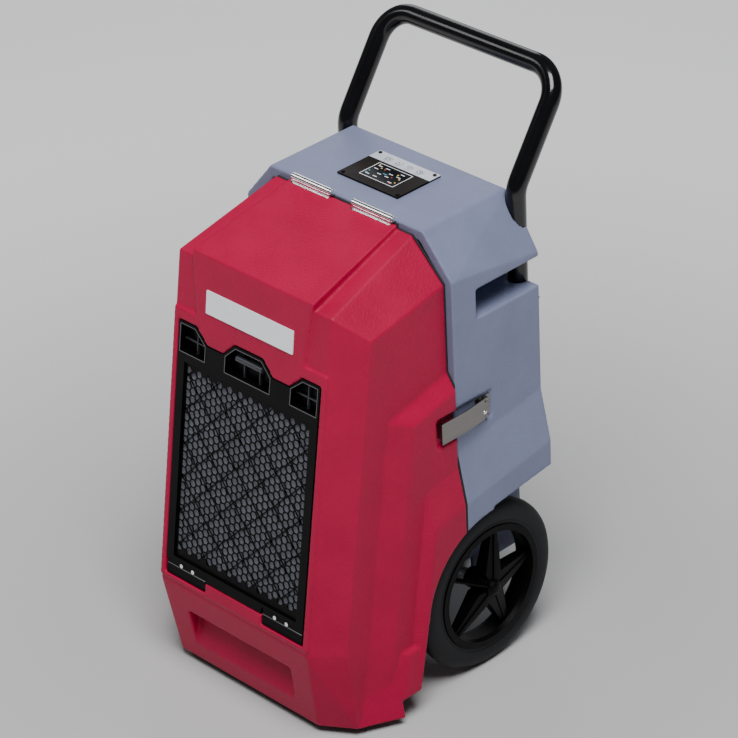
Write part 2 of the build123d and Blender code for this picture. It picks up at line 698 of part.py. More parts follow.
def grille_tongues():
    """Plates at the grille's foot, rolled at the lower edge where they turn in the cover's pockets."""
    def tongue(side):
        low = GRILLE_PIVOT_Z
        outline = [(side * 57.0, low), (side * 134.4, low), (side * 134.4, 177.5), (side * 57.0, 177.5)]
        roll = rod("X", (side * 95.7, front_y(low), low), ROLL_R, 77.4)
        return face_slab(outline, SEAT_DEPTH, SEAT_DEPTH) + roll
    return both(tongue)


def tongue_screws():
    screws = []
    base = on_front(173.8, SEAT_DEPTH)
    for x in (-105.0, -82.0, 82.0, 105.0):
        screw = Pos(x, 0, 0.9) * Cylinder(3.0, 1.8)
        screws.append(base.location * screw)
    return group(screws)


def filter_media():
    z0, z1 = MESH_Z
    half = MESH_HALF - 0.3
    return face_slab(symmetric([(half, z0 + 0.3), (half, z1 - 0.3)]), MESH_OUT - MESH_T - 2.0, DOOR_BACK)


def badge_plate():
    """Blank plate on the brow of the centre panel."""
    y = BROW_Y - 0.14 * (BROW[2] - 576.0)
    plane = Plane(origin=(0, y, 576.0), x_dir=(1, 0, 0), z_dir=(0, -1, 0.14))
    return extrude(plane * RectangleRounded(167.0, 34.0, 1.5), amount=1.2)


# ---- control panel --------------------------------------------------------------------------------

BUTTON_X = (-30.0, -10.0, 10.0, 30.0)
BUTTON_Y = 103.0
BUTTON_R = 6.0
SCREEN = (-33.0, 33.0, 48.0, 90.0)


def control_panel():
    y0, y1 = PANEL_Y
    panel = block(-PANEL_HALF, PANEL_HALF, y0, y1, TOP_Z, TOP_Z + PANEL_T)
    panel -= block(*SCREEN, TOP_Z + 1.0, TOP_Z + 9)
    panel -= block(-PANEL_HALF - 1, PANEL_HALF + 1, STRIP_Y, y1 + 1, TOP_Z + 2.2, TOP_Z + 9)
    for x in BUTTON_X:
        panel -= rod("Z", (x, BUTTON_Y, TOP_Z), BUTTON_R + 1.0, 30)
    for x, y in PANEL_SCREWS:
        panel -= rod("Z", (x, y, TOP_Z), 1.6, 30)
    return panel


def display_window():
    x0, x1, y0, y1 = SCREEN
    return block(x0 + 0.1, x1 - 0.1, y0 + 0.1, y1 - 0.1, TOP_Z + 1.0, TOP_Z + PANEL_T)


def button_strip():
    strip = block(-PANEL_HALF, PANEL_HALF, STRIP_Y, PANEL_Y[1], TOP_Z + 2.2, TOP_Z + PANEL_T)
    for x in BUTTON_X:
        strip -= rod("Z", (x, BUTTON_Y, TOP_Z), BUTTON_R + 0.4, 30)
    for x, y in PANEL_SCREWS:
        strip -= rod("Z", (x, y, TOP_Z), 1.6, 30)
    return strip


def panel_screws():
    screws = []
    for x, y in PANEL_SCREWS:
        head = rod("Z", (x, y, TOP_Z + PANEL_T + 0.6), 2.8, 1.2)
        screws.append(head + rod("Z", (x, y, TOP_Z - 0.5), 1.5, 7.0))
    return group(screws)


def panel_button(x):
    return rod("Z", (x, BUTTON_Y, TOP_Z + 2.4), BUTTON_R, 2.4)


# ---- wheels ---------------------------------------------------------------------------------------

RIM_SEAT = 91.0                # the tyre's bead sits here
RIM_IN = 82.0
HUB_R = 15.0
STAR_R = 26.0                  # where neighbouring spokes meet
SPOKE_TIP = 5.5                # half width of a spoke at the rim
SPOKE_BACK = 180.0
WHEEL_MID = (TYRE_IN + TYRE_OUT) / 2


def wheel_profile(side, points):
    """Revolve (x, radius) points about the axle."""
    flat = [(side * x, AXLE_Y, AXLE_Z + r) for x, r in points]
    face = make_face(Polyline(*flat, close=True))
    return revolve(face, Axis((0, AXLE_Y, AXLE_Z), (1, 0, 0)), 360)


def tyre(side):
    return wheel_profile(side, [
        (TYRE_IN + 4, RIM_SEAT), (TYRE_OUT - 4, RIM_SEAT), (TYRE_OUT - 1, 98), (TYRE_OUT, 108),
        (TYRE_OUT - 3, 118), (TYRE_OUT - 9, 125), (WHEEL_MID, AXLE_Z), (TYRE_IN + 9, 125),
        (TYRE_IN + 3, 118), (TYRE_IN, 108), (TYRE_IN + 1, 98)])


def dished(side, face):
    """Everything behind the spokes' dished outer face, moved out by face."""
    return wheel_profile(side, [
        (SPOKE_BACK, 9.0), (203.0 + face, 9.0), (203.0 + face, HUB_R - 1), (191.5 + face, RIM_IN + 3),
        (SPOKE_BACK, RIM_IN + 3)])


def rim(side):
    """Five tapered spokes with a raised rib meet in a star round the hub, which runs on the axle."""
    ring = wheel_profile(side, [
        (TYRE_IN + 6, RIM_IN + 2), (TYRE_OUT - 6, RIM_IN), (TYRE_OUT + 1, RIM_IN + 2),
        (TYRE_OUT + 1, RIM_R), (TYRE_OUT - 1.5, RIM_R), (TYRE_OUT - 4, RIM_SEAT), (TYRE_IN + 4, RIM_SEAT),
        (TYRE_IN + 1.5, RIM_R), (TYRE_IN, RIM_R), (TYRE_IN, RIM_IN + 4)])
    wheel = ring + rod("X", (side * 182.0, AXLE_Y, AXLE_Z), HUB_R, 42.0)
    half = math.pi / SPOKES
    root = (STAR_R * math.sin(half), STAR_R * math.cos(half))
    blade = [(0.0, 0.0), root, (SPOKE_TIP, RIM_IN + 4), (-SPOKE_TIP, RIM_IN + 4), (-root[0], root[1])]
    rib = [(1.2, 0.0), (1.2, RIM_IN + 4), (-1.2, RIM_IN + 4), (-1.2, 0.0)]
    for outline, face in ((blade, 0.0), (rib, 1.8)):
        prism = Pos(-30, 0, 0) * extrude(Plane.YZ * make_face(Polyline(*outline, close=True)), amount=60)
        cutter = dished(side, face)
        for k in range(SPOKES):
            turn = SPOKE_TURN + k * 360 / SPOKES
            wheel += Pos(side * 190.0, AXLE_Y, AXLE_Z) * Rot(-turn, 0, 0) * prism & cutter
    return wheel - rod("X", (side * 182.0, AXLE_Y, AXLE_Z), AXLE_R + RUN_GAP, 90)


def hub_cap(side):
    """Domed cap pressed on the hub over the end of the axle."""
    dome = [(203.0, 0), (203.0, 12.5), (206.0, 12.5), (209.0, 10.0), (211.0, 5.5), (211.6, 0)]
    return wheel_profile(side, dome)


def axle():
    return rod("X", (0, AXLE_Y, AXLE_Z), AXLE_R, 404)


def axle_brackets():
    def bracket(side):
        x0, x1 = sorted((side * 138, side * 148))
        plate = block(x0, x1, AXLE_Y - 14, AXLE_Y + 14, 114.0, 145.0)
        return plate - rod("X", (side * 143, AXLE_Y, AXLE_Z), AXLE_R, 30)
    return both(bracket)


def axle_washers():
    return both(lambda side: hollow_rod("X", (side * 159.0, AXLE_Y, AXLE_Z), 13.0, AXLE_R, 2.4))


# ---- chassis and refrigeration --------------------------------------------------------------------

TRAY_HALF = 120.0
PAN_Z = 186.0
LINE_X = 145.0                 # the two large lines pass the bulkhead at this half width
SUCTION_Z = 343.0
DISCHARGE_Z = 317.0
LIQUID_Z = 276.0


def chassis_tray():
    """Folded sheet steel: floor, sides and a shelf under the housing."""
    t = 2.0
    tray = block(-TRAY_HALF, TRAY_HALF, -205.0, -68.0, 20.0, 20.0 + t)
    tray += block(-TRAY_HALF, TRAY_HALF, -70.0, -68.0, 20.0, FLOOR_Z)
    tray += block(-TRAY_HALF, TRAY_HALF, -70.0, AXLE_Y - 19, FLOOR_Z - t, FLOOR_Z)
    for side in (1, -1):
        x0, x1 = sorted((side * TRAY_HALF, side * (TRAY_HALF - t)))
        tray += block(x0, x1, -190.0, -68.0, 20.0, PAN_Z - 6)
    return tray


def front_feet():
    """Rubber feet under the front of the chassis tray."""
    feet = []
    for x in (-95.0, 95.0):
        foot = Pos(x, -188.0, 10.0) * Cone(16.0, 13.0, 20.0)
        feet.append(foot)
    return group(feet)


def drain_pan():
    pan = block(-122.0, 122.0, -160.0, -46.0, PAN_Z - 6, PAN_Z + 12)
    return pan - block(-120.0, 120.0, -158.0, -48.0, PAN_Z - 4, PAN_Z + 20)


def coil(y0, y1):
    """Finned block of a heat exchanger with its end plates."""
    z0, z1 = PAN_Z - 4, 520.0
    core = block(-112.0, 112.0, y0, y1, z0, z1)
    for side in (1, -1):
        x0, x1 = sorted((side * 112.0, side * 114.0))
        core += block(x0, x1, y0 - 1.5, y1 + 1.5, z0, z1 + 4)
    return core


def coil_bends():
    """Return bends at both ends of the two coils."""
    bends = []
    for y in (-136.0, -84.0):
        for side, first in ((1, 205.0), (-1, 230.0)):
            for k in range(6):
                z = first + 50.0 * k
                ring = Pos(side * 114.0, y, z + 12.5) * Rot(90, 0, 0) * Torus(12.5, 3.4)
                bends.append(ring & block(*sorted((side * 114.05, side * 135)), y - 10, y + 10, z - 20, z + 45))
    return group(bends)


COMPRESSOR = (-62.0, 92.0)
COMPRESSOR_Z = 155.0           # underside of its base plate
COMPRESSOR_TOP = 291.0


def compressor():
    x, y = COMPRESSOR
    shell = Pos(x, y, (COMPRESSOR_Z + COMPRESSOR_TOP) / 2 - 12) * Cylinder(58.0, 100.0)
    dome = Sphere(58.0) & Pos(0, 0, 15) * Box(130, 130, 30)
    shell += Pos(x, y, COMPRESSOR_TOP - 30) * dome
    return shell + Pos(x, y, COMPRESSOR_Z + 3) * Box(96.0, 96.0, 6.0)


def compressor_grommets():
    """Rubber mounts: the front pair stands on the axle channel, the rear pair on the floor."""
    x, y = COMPRESSOR
    grommets = []
    for dx in (-38.0, 38.0):
        for dy, low in ((-38.0, CHANNEL_TOP + WALL), (38.0, FLOOR_Z + WALL)):
            grommets.append(Pos(x + dx, y + dy, (low + COMPRESSOR_Z) / 2) * Cylinder(6.5, COMPRESSOR_Z - low))
    return group(grommets)


def suction_line():
    """Evaporator to compressor, over the top of the condenser's bends and through the bulkhead."""
    x, y = COMPRESSOR
    return pipe([(x + 30, y - 20, COMPRESSOR_TOP), (x + 30, y - 20, SUCTION_Z), (LINE_X, y - 20, SUCTION_Z),
                 (LINE_X, -132.0, SUCTION_Z), (114.0, -132.0, SUCTION_Z)], 5.0, 12.0)


def discharge_line():
    """Compressor to condenser."""
    x, y = COMPRESSOR
    return pipe([(x - 30, y + 10, COMPRESSOR_TOP), (x - 30, y + 10, DISCHARGE_Z),
                 (-LINE_X, y + 10, DISCHARGE_Z), (-LINE_X, -84.0, DISCHARGE_Z), (-114.0, -84.0, DISCHARGE_Z)],
                4.4, 12.0)


DRIER = (104.0, 60.0)


def filter_drier():
    x, y = DRIER
    body = Pos(x, y, 215.0) * Cylinder(14.0, 76.0)
    return body + Pos(x, y, 215.0) * Cylinder(5.0, 96.0)


def liquid_lines():
    """Condenser to filter drier, and the small line from the drier to the evaporator."""
    x, y = DRIER
    upper = pipe([(x, y, 263.0), (x, y, LIQUID_Z), (x, -64.0, LIQUID_Z)], 3.6, 9.0)
    lower = pipe([(x, y, 167.0), (x, y, 155.0), (x, -169.0, 155.0), (x, -169.0, 240.0), (x, -152.0, 240.0)],
                 2.4, 8.0)
    return group([upper, lower])


def pump_reservoir():
    tank = block(-60.0, 60.0, -150.0, -80.0, 22.0, 110.0)
    return tank - block(-57.0, 57.0, -147.0, -83.0, 25.0, 130.0)


def condensate_pump():
    pump = Pos(20.0, -115.0, 45.0) * Cylinder(22.0, 40.0)
    pump += Pos(20.0, -115.0, 80.0) * Cylinder(14.0, 30.0)
    return pump


def drain_outlet():
    """Drain fitting through the rear wall, with a plain spigot for a hose."""
    flange = rod("Y", (-110.0, REAR_Y + 2.0, 175.0), 14.0, 4.0)
    flange += rod("Y", (-110.0, REAR_Y - 6.0, 175.0), 8.95, 14.0)
    spigot = rod("Y", (-110.0, REAR_Y + 14.0, 175.0), 8.0, 21.0)
    return flange + spigot - rod("Y", (-110.0, REAR_Y + 5.0, 175.0), 6.0, 60.0)


def power_inlet():
    """Mains inlet socket in the rear wall, with its three blades."""
    flange = block(87.0, 125.0, REAR_Y, REAR_Y + 3.0, 160.0, 190.0)
    body = block(92.1, 119.9, REAR_Y - 28.0, REAR_Y + 1.0, 165.1, 184.9)
    inlet = flange + body - block(94.5, 117.5, REAR_Y - 17.0, REAR_Y + 9.0, 167.5, 182.5)
    for dx in (-7.0, 0.0, 7.0):
        inlet += Pos(106.0 + dx, REAR_Y - 10.0, 175.0 + (3.0 if dx == 0 else -2.0)) * Box(2.0, 18.0, 4.0)
    return inlet


def outlet_grille():
    """Louvred air outlet in the rear wall."""
    z0, z1 = OUTLET_Z
    frame = block(-OUTLET_HALF - 8, OUTLET_HALF + 8, REAR_Y, REAR_Y + 3.0, z0 - 8, z1 + 8)
    frame += block(-OUTLET_HALF + 0.2, OUTLET_HALF - 0.2, REAR_Y - 10.0, REAR_Y + 1, z0 + 0.2, z1 - 0.2)
    frame -= block(-OUTLET_HALF + 3, OUTLET_HALF - 3, REAR_Y - 20, REAR_Y + 20, z0 + 3, z1 - 3)
    pitch = 15.0
    count = int((z1 - z0 - 12) / pitch)
    for k in range(count + 1):
        z = z0 + 8 + k * (z1 - z0 - 16) / count
        blade = Pos(0, REAR_Y - 4.0, z) * Rot(-35, 0, 0) * Box(2 * OUTLET_HALF - 5, 12.0, 1.6)
        frame += blade
    frame += block(-1.5, 1.5, REAR_Y - 9.0, REAR_Y + 1.0, z0, z1)
    return frame


# ---- fan ------------------------------------------------------------------------------------------

SHROUD_Y = (-40.0, 10.0)
BLADES = 7


def fan_shroud():
    """Bulkhead with the fan ring and a three-arm motor mount."""
    y0, y1 = SHROUD_Y
    plate = block(-140.0, 140.0, y0, y0 + 3.0, FLOOR_Z, 560.0)
    plate += block(-160.0, 160.0, y0, y0 + 3.0, 275.0, 560.0)
    plate -= rod("Y", (LINE_X, y0, SUCTION_Z), 6.0, 30)
    plate -= rod("Y", (-LINE_X, y0, DISCHARGE_Z), 6.0, 30)
    plate -= rod("Y", (DRIER[0], y0, LIQUID_Z), 4.6, 30)
    plate -= rod("Y", (DRIER[0], y0, 155.0), 3.4, 30)
    ring = rod("Y", (0, (y0 + y1) / 2, FAN_Z), FAN_R + 7.0, y1 - y0)
    shroud = plate + ring - rod("Y", (0, (y0 + y1) / 2, FAN_Z), FAN_R + 4.0, 90)
    mount = hollow_rod("Y", (0, 20.0, FAN_Z), 44.0, 40.0, 14.0)
    for k in range(3):
        arm = Pos(0, 0, 79.5) * Box(12.0, 6.0, 77.0)
        mount += Pos(0, 17.0, FAN_Z) * Rot(0, 60 + 120 * k, 0) * arm
    hoop = hollow_rod("Y", (0, 13.0, FAN_Z), FAN_R + 7.0, FAN_R + 3.9, 14.0)
    return shroud + mount + hoop


def fan_motor():
    motor = rod("Y", (0, 42.0, FAN_Z), 40.0, 58.0)
    shaft = rod("Y", (0, -5.0, FAN_Z), 4.0, 50.0)
    return motor + shaft


def fan_impeller():
    hub = rod("Y", (0, -14.0, FAN_Z), 34.0, 26.0)
    fan = hub
    for k in range(BLADES):
        blade = Pos(0, 0, 70.0) * Rot(0, 0, 32) * Box(46.0, 2.4, 78.0)
        fan += Pos(0, -14.0, FAN_Z) * Rot(0, k * 360 / BLADES, 0) * blade
    fan &= rod("Y", (0, -14.0, FAN_Z), FAN_R, 60)
    return fan - rod("Y", (0, -14.0, FAN_Z), 4.0 + RUN_GAP, 80)


def electronics_box():
    box = block(-70.0, 70.0, 45.0, 108.0, 628.0, TOP_Z - WALL)
    return box - block(-68.0, 68.0, 47.0, 106.0, 630.0, TOP_Z + 9)


def control_board():
    board = block(-60.0, 60.0, 52.0, 102.0, 640.0, 641.6)
    board += block(-50.0, -25.0, 60.0, 90.0, 641.6, 662.0)
    board += block(0.0, 40.0, 60.0, 80.0, 641.6, 655.0)
    return board


def run_capacitor():
    return Pos(60.0, 110.0, FLOOR_Z + WALL + 40.0) * Cylinder(20.0, 80.0)


# ---- write every node -----------------------------------------------------------------------------

save("front_cover", front_cover())
save("rear_housing", rear_housing())
save("cover_seal", cover_seal())
save("handle_tube", handle_tube())
save("handle_clamps", handle_clamps())
save("handle_screws", handle_screws())
save("hinge_leaves_housing", hinge_leaves_housing())
save("hinge_leaves_cover", hinge_leaves_cover())
save("hinge_pins", hinge_pins())
save("latch_bases", latch_bases())
save("latch_keepers", latch_keepers())
save("filter_grille", filter_grille())
save("grille_mesh", grille_mesh())
save("grip_bar", grip_bar())
save("grille_tongues", grille_tongues())
save("tongue_screws", tongue_screws())
save("filter_media", filter_media())
save("badge_plate", badge_plate())
save("control_panel", control_panel())
save("display_window", display_window())
save("button_strip", button_strip())
save("panel_screws", panel_screws())
for number, x in enumerate(BUTTON_X, 1):
    save("panel_button_" + str(number), panel_button(x))
for name, side in (("right", 1), ("left", -1)):
    save("latch_lever_" + name, latch_lever(side))
    save("tyre_" + name, tyre(side))
    save("rim_" + name, rim(side))
    save("hub_cap_" + name, hub_cap(side))
save("axle", axle())
save("axle_brackets", axle_brackets())
save("axle_washers", axle_washers())
save("chassis_tray", chassis_tray())
save("front_feet", front_feet())
save("drain_pan", drain_pan())
save("evaporator_coil", coil(-152.0, -112.0))
save("condenser_coil", coil(-104.0, -64.0))
save("coil_bends", coil_bends())
save("compressor", compressor())
save("compressor_grommets", compressor_grommets())
save("suction_line", suction_line())
save("discharge_line", discharge_line())
save("liquid_lines", liquid_lines())
save("filter_drier", filter_drier())
save("pump_reservoir", pump_reservoir())
save("condensate_pump", condensate_pump())
save("drain_outlet", drain_outlet())
save("power_inlet", power_inlet())
save("outlet_grille", outlet_grille())
save("fan_shroud", fan_shroud())
save("fan_motor", fan_motor())
save("fan_impeller", fan_impeller())
save("electronics_box", electronics_box())
save("control_board", control_board())
save("run_capacitor", run_capacitor())
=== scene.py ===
import json
import math

import bmesh
import bpy
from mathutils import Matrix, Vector


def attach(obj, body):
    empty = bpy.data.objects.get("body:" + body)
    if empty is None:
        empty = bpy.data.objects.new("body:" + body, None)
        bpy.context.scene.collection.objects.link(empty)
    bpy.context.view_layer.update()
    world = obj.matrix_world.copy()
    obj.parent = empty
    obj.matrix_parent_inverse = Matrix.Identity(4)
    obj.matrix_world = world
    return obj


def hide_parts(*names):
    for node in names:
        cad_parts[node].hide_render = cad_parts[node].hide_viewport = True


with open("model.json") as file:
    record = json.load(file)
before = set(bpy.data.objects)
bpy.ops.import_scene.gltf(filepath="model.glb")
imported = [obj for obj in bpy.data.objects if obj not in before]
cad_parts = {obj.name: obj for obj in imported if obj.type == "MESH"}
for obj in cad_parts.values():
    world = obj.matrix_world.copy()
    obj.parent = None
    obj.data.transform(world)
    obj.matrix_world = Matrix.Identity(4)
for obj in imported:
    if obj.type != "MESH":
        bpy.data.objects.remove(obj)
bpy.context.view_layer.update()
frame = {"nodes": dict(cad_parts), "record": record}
nodes = frame["nodes"]
MM = 0.001


# ---- materials ----------------------------------------------------------------------------------


def principled(name):
    mat = bpy.data.materials.new(name)
    mat.use_nodes = True
    tree = mat.node_tree
    return mat, tree, tree.nodes["Principled BSDF"]


def add(tree, kind, **values):
    node = tree.nodes.new(kind)
    for key, value in values.items():
        setattr(node, key, value)
    return node


def noise(tree, coord, scale, detail=4.0, rough=0.5, stretch=None):
    """Noise in object coordinates, which are metres."""
    node = add(tree, "ShaderNodeTexNoise")
    node.inputs["Scale"].default_value = scale
    node.inputs["Detail"].default_value = detail
    node.inputs["Roughness"].default_value = rough
    source = coord
    if stretch:
        mapping = add(tree, "ShaderNodeMapping")
        mapping.inputs["Scale"].default_value = stretch
        tree.links.new(coord, mapping.inputs["Vector"])
        source = mapping.outputs["Vector"]
    tree.links.new(source, node.inputs["Vector"])
    return node.outputs["Fac"]


NOISE_SPAN = (0.3, 0.7)        # nearly all values of a noise lie between these


def spread(tree, fac, low, high):
    """Map a noise value to low..high."""
    node = add(tree, "ShaderNodeMapRange")
    node.inputs["From Min"].default_value = NOISE_SPAN[0]
    node.inputs["From Max"].default_value = NOISE_SPAN[1]
    node.inputs["To Min"].default_value = low
    node.inputs["To Max"].default_value = high
    tree.links.new(fac, node.inputs["Value"])
    return node.outputs["Result"]


def tinted(tree, fac, dark, light):
    node = add(tree, "ShaderNodeMix", data_type="RGBA")
    tree.links.new(fac, node.inputs["Factor"])
    node.inputs["A"].default_value = (*dark, 1)
    node.inputs["B"].default_value = (*light, 1)
    return node.outputs["Result"]


COAT_ROUGH = 0.1
SMOOTHEST = 0.02               # no surface is glossier than this
GRAIN_DEPTH = 0.25             # depth of the grain against its size


def surface(name, colour, rough=0.45, metal=0.0, shade=0.08, mottle=18.0, rough_vary=0.05, grain=None,
            brushed=None, coat=0.0, specular=0.5):
    """Principled material: mottled colour and roughness, plus grain as (size in m, strength)."""
    mat, tree, shader = principled(name)
    coord = add(tree, "ShaderNodeTexCoord").outputs["Object"]
    dark = [c * (1 - shade) for c in colour]
    light = [min(1.0, c * (1 + shade)) for c in colour]
    cloud = noise(tree, coord, mottle, 5.0, 0.55, brushed)
    tree.links.new(tinted(tree, spread(tree, cloud, 0.0, 1.0), dark, light), shader.inputs["Base Color"])
    rough_low = max(SMOOTHEST, rough - rough_vary)
    tree.links.new(spread(tree, cloud, rough_low, rough + rough_vary), shader.inputs["Roughness"])
    shader.inputs["Metallic"].default_value = metal
    shader.inputs["Coat Weight"].default_value = coat
    shader.inputs["Coat Roughness"].default_value = COAT_ROUGH
    shader.inputs["Specular IOR Level"].default_value = specular
    if grain:
        size, strength = grain
        bump = add(tree, "ShaderNodeBump")
        bump.inputs["Strength"].default_value = strength
        bump.inputs["Distance"].default_value = size * GRAIN_DEPTH
        fine = noise(tree, coord, 1.0 / size, 3.0, 0.6, brushed)
        tree.links.new(fine, bump.inputs["Height"])
        tree.links.new(bump.outputs["Normal"], shader.inputs["Normal"])
    return mat


RED = surface("red_shell", (0.415, 0.0030, 0.048), 0.42, shade=0.07, grain=(0.0028, 1.0), specular=0.19)
GREY = surface("grey_shell", (0.200, 0.223, 0.345), 0.42, shade=0.06, grain=(0.0028, 1.0), specular=0.24)
TUBE = surface("black_tube", (0.003, 0.003, 0.004), 0.18, shade=0.3, grain=(0.004, 0.03), specular=0.3,
               coat=0.3)
STAINLESS = surface("stainless", (0.225, 0.215, 0.205), 0.34, 1.0, 0.10, 60, 0.08, (0.0012, 0.15),
                    brushed=(1.0, 0.06, 1.0))
BRIGHT = surface("bright_steel", (0.92, 0.92, 0.94), 0.16, 1.0, 0.03, 40, 0.02)
TYRE = surface("tyre", (0.009, 0.0095, 0.0115), 0.6, shade=0.18, mottle=30, grain=(0.0014, 0.35),
               specular=0.25)
BLACK = surface("black_plastic", (0.0016, 0.0015, 0.0015), 0.40, shade=0.2, grain=(0.0012, 0.3),
                specular=0.09)
MESH = surface("black_mesh", (0.0016, 0.0015, 0.0015), 0.42, 0.0, 0.2, 40, 0.06, (0.001, 0.2), specular=0.09)
BADGE = surface("badge", (0.93, 0.95, 1.0), 0.30, shade=0.02, grain=(0.002, 0.04), coat=0.2)
PANEL = surface("panel_black", (0.0075, 0.0045, 0.0032), 0.34, shade=0.2, mottle=60, grain=(0.001, 0.06),
                specular=0.07)
SCREEN = surface("screen", (0.005, 0.006, 0.009), 0.14, shade=0.2, grain=(0.01, 0.01), specular=0.07)
SILVER = surface("silver_strip", (0.66, 0.69, 0.78), 0.36, 0.2, 0.05, 60, 0.05, (0.0008, 0.12),
                 brushed=(0.05, 1.0, 1.0))
RUBBER = surface("rubber", (0.02, 0.02, 0.021), 0.72, shade=0.2, grain=(0.002, 0.4))
FINS = surface("fins", (0.66, 0.67, 0.69), 0.35, 1.0, 0.12, 60, 0.08, (0.0011, 0.5), brushed=(1.0, 1.0, 0.05))
COPPER = surface("copper", (0.66, 0.30, 0.17), 0.30, 1.0, 0.2, 30, 0.10, (0.002, 0.08))
ENAMEL = surface("compressor_black", (0.012, 0.012, 0.013), 0.34, shade=0.25, grain=(0.003, 0.2), coat=0.2)
ZINC = surface("galvanised", (0.52, 0.53, 0.55), 0.42, 1.0, 0.25, 70, 0.12, (0.004, 0.1))
PAN = surface("pan_plastic", (0.045, 0.046, 0.05), 0.5, shade=0.12, grain=(0.002, 0.3))
PUMP = surface("pump_blue", (0.03, 0.09, 0.22), 0.42, shade=0.1, grain=(0.002, 0.2))
BOARD = surface("board", (0.015, 0.13, 0.05), 0.35, shade=0.25, mottle=220, grain=(0.0015, 0.3))
STEEL = surface("steel", (0.46, 0.46, 0.47), 0.32, 1.0, 0.12, 50, 0.08, (0.002, 0.1))
FOAM = surface("foam", (0.014, 0.014, 0.015), 0.85, shade=0.3, mottle=400, grain=(0.002, 0.9))
# Light grey far above the black plastic: a painted highlight for the tongue fold beads and the pocket rims.
EDGE_HIGHLIGHT = surface("fold", (0.10, 0.10, 0.11), 0.3, shade=0.15, grain=(0.001, 0.1))
# Blue-grey well above the black plastic: a painted highlight on the grip bar; the pocket ribs use it too.
GRIP_HIGHLIGHT = surface("grip", (0.035, 0.037, 0.045), 0.32, shade=0.15, grain=(0.001, 0.1))


def filter_material():
    """Non-woven mat: fine tangled fibres with soft lighter and darker patches."""
    mat, tree, shader = principled("filter_mat")
    coord = add(tree, "ShaderNodeTexCoord").outputs["Object"]
    fibres = noise(tree, coord, 900.0, 6.0, 0.7, (1.0, 1.0, 0.35))
    patches = noise(tree, coord, 35.0, 3.0)
    both = add(tree, "ShaderNodeMath", operation="MULTIPLY_ADD")
    tree.links.new(fibres, both.inputs[0])
    both.inputs[1].default_value = 0.5
    tree.links.new(spread(tree, patches, 0.1, 0.5), both.inputs[2])
    tint = tinted(tree, both.outputs[0], (0.115, 0.120, 0.150), (0.26, 0.27, 0.32))
    tree.links.new(tint, shader.inputs["Base Color"])
    shader.inputs["Roughness"].default_value = 0.9
    shader.inputs["Sheen Weight"].default_value = 0.3
    bump = add(tree, "ShaderNodeBump")
    bump.inputs["Strength"].default_value = 0.8
    bump.inputs["Distance"].default_value = 0.0006
    tree.links.new(fibres, bump.inputs["Height"])
    tree.links.new(bump.outputs["Normal"], shader.inputs["Normal"])
    return mat


FILTER = filter_material()


GLOW = 0.5


def glow(name, colour):
    """Mark on the display that shines a little."""
    mat, tree, shader = principled(name)
    coord = add(tree, "ShaderNodeTexCoord").outputs["Object"]
    dim = [c * 0.75 for c in colour]
    tint = tinted(tree, spread(tree, noise(tree, coord, 300.0), 0.0, 1.0), dim, colour)
    tree.links.new(tint, shader.inputs["Base Color"])
    tree.links.new(tint, shader.inputs["Emission Color"])
    shader.inputs["Emission Strength"].default_value = GLOW
    return mat


GLOW_WHITE = glow("glyph_white", (0.75, 0.78, 0.80))
GLOW_AMBER = glow("glyph_amber", (0.85, 0.55, 0.10))
GLOW_TEAL = glow("glyph_teal", (0.10, 0.55, 0.65))
GLOW_RED = glow("glyph_red", (0.75, 0.08, 0.08))
INK = surface("ink", (0.03, 0.03, 0.035), 0.4, grain=(0.001, 0.05))

LOOK = {
    "red_shell": RED, "grey_shell": GREY, "black_tube": TUBE, "stainless": STAINLESS, "bright_steel": BRIGHT,
    "tyre": TYRE, "black_plastic": BLACK, "black_mesh": MESH, "filter": FILTER, "badge": BADGE,
    "panel_black": PANEL, "screen": SCREEN, "silver_strip": SILVER, "button": SILVER, "rubber": RUBBER,
    "foam": FOAM, "fins": FINS, "copper": COPPER, "compressor_black": ENAMEL, "galvanised": ZINC,
    "pan_plastic": PAN, "pump_blue": PUMP, "board": BOARD, "steel": STEEL,
}
SLOT_OF = {s["node"]: s["material_slot"] for s in frame["record"]["subparts"]}
for name, obj in nodes.items():
    obj.data.materials.clear()
    # The grip bar gets the lighter grey of its painted highlight.
    obj.data.materials.append(GRIP_HIGHLIGHT if name == "grip_bar" else LOOK[SLOT_OF[name]])


# ---- tools for pieces ---------------------------------------------------------------------------


def piece(name, mesh, mat, body):
    obj = bpy.data.objects.new(name, mesh)
    bpy.context.scene.collection.objects.link(obj)
    mesh.materials.clear()
    mesh.materials.append(mat)
    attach(obj, body)
    return obj


BEVEL_ANGLE = 35               # flatter edges stay as they are
VOXEL = 0.0018
KEPT_FACES = 0.3               # share of the faces left after thinning out


def apply_modifiers(obj):
    """Bake the modifiers into the object's own mesh."""
    graph = bpy.context.evaluated_depsgraph_get()
    graph.update()
    mesh = bpy.data.meshes.new_from_object(obj.evaluated_get(graph))
    obj.modifiers.clear()
    obj.data = mesh
    return mesh


def shade(mesh, angle=None):
    mesh.shade_smooth()
    if angle is not None:
        mesh.set_sharp_from_angle(angle=math.radians(angle))


def soften(name, width):
    """Round the edges of a CAD node's look with a small bevel, its width in millimetres."""
    obj = nodes[name]
    bevel = obj.modifiers.new("edge", "BEVEL")
    bevel.width = width * MM
    bevel.segments = 2
    bevel.limit_method = "ANGLE"
    bevel.angle_limit = math.radians(BEVEL_ANGLE)
    bevel.harden_normals = True
    bevel.miter_outer = "MITER_ARC"


